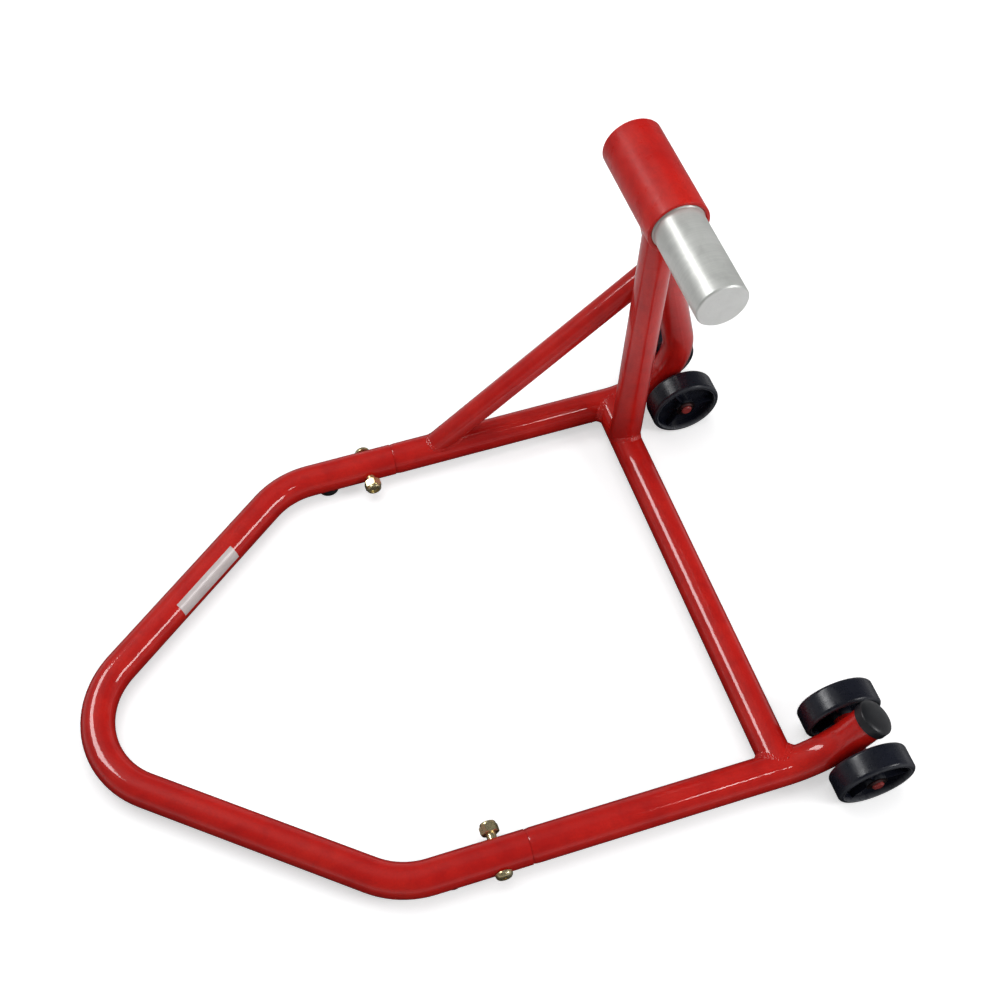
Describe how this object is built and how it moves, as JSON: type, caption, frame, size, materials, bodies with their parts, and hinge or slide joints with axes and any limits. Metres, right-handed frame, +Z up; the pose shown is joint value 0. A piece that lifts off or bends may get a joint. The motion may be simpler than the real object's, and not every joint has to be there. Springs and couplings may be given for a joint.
{
  "type": "paddock stand",
  "caption": "Single-sided motorcycle paddock stand: bent tube frame on small wheels, upright with a turned lifting pin, and a U-shaped bolt-on lever handle.",
  "frame": {"origin": "on the floor, in the middle of the footprint (the middle of the underside of the bounding box)", "axes": "+Z up, +Y from the handle towards the wheels, +X from the upright's side to the short tube's side"},
  "size_m": [0.5988, 0.7764, 0.395],
  "materials": {
    "red_powder_coat": "gloss powder coat",
    "turned_metal": "satin turned",
    "yellow_zinc": "yellow zinc plate",
    "bright_zinc": "zinc plate",
    "black_plastic": "satin moulded",
    "cap_plastic": "semi-gloss moulded",
    "black_rubber": "matte",
    "label_film": "blank white vinyl"
  },
  "bodies": {
    "frame": {"near_side_tube": "red_powder_coat", "far_side_tube": "red_powder_coat", "cross_tube": "red_powder_coat", "diagonal_strut": "red_powder_coat", "sleeve_brace": "red_powder_coat", "pin_sleeve": "red_powder_coat", "handle_tube": "red_powder_coat", "handle_bolts": "yellow_zinc", "handle_lock_nuts": "yellow_zinc", "rubber_feet": "black_rubber", "near_axle": "red_powder_coat", "far_axle": "red_powder_coat", "wheel_spacers": "red_powder_coat", "axle_push_nuts": "bright_zinc", "tube_end_cap": "cap_plastic", "cross_tube_welds": "red_powder_coat", "strut_welds": "red_powder_coat", "sleeve_weld": "red_powder_coat", "brace_welds": "red_powder_coat", "axle_welds": "red_powder_coat", "blank_label": "label_film"},
    "lifting_pin": {"lifting_pin": "turned_metal", "pin_retaining_disc": "turned_metal", "pin_lock_washer": "yellow_zinc", "pin_retaining_bolt": "yellow_zinc"},
    "near_outer_wheel": {"near_outer_wheel": "black_plastic"},
    "near_inner_wheel": {"near_inner_wheel": "black_plastic"},
    "far_inner_wheel": {"far_inner_wheel": "black_plastic"},
    "far_outer_wheel": {"far_outer_wheel": "black_plastic"}
  },
  "joints": [
    {"name": "pin_spin", "type": "hinge", "parent": "frame", "child": "lifting_pin", "pos_m": [-0.2309, 0.29211, 0.3633], "axis": [1, 0, 0], "continuous": true},
    {"name": "near_outer_wheel_spin", "type": "hinge", "parent": "frame", "child": "near_outer_wheel", "pos_m": [0.2841, 0.3482, 0.04], "axis": [1, 0, 0], "continuous": true},
    {"name": "near_inner_wheel_spin", "type": "hinge", "parent": "frame", "child": "near_inner_wheel", "pos_m": [0.2117, 0.3482, 0.04], "axis": [1, 0, 0], "continuous": true},
    {"name": "far_inner_wheel_spin", "type": "hinge", "parent": "frame", "child": "far_inner_wheel", "pos_m": [-0.1947, 0.3482, 0.04], "axis": [1, 0, 0], "continuous": true},
    {"name": "far_outer_wheel_spin", "type": "hinge", "parent": "frame", "child": "far_outer_wheel", "pos_m": [-0.2671, 0.3482, 0.04], "axis": [1, 0, 0], "continuous": true}
  ]
}
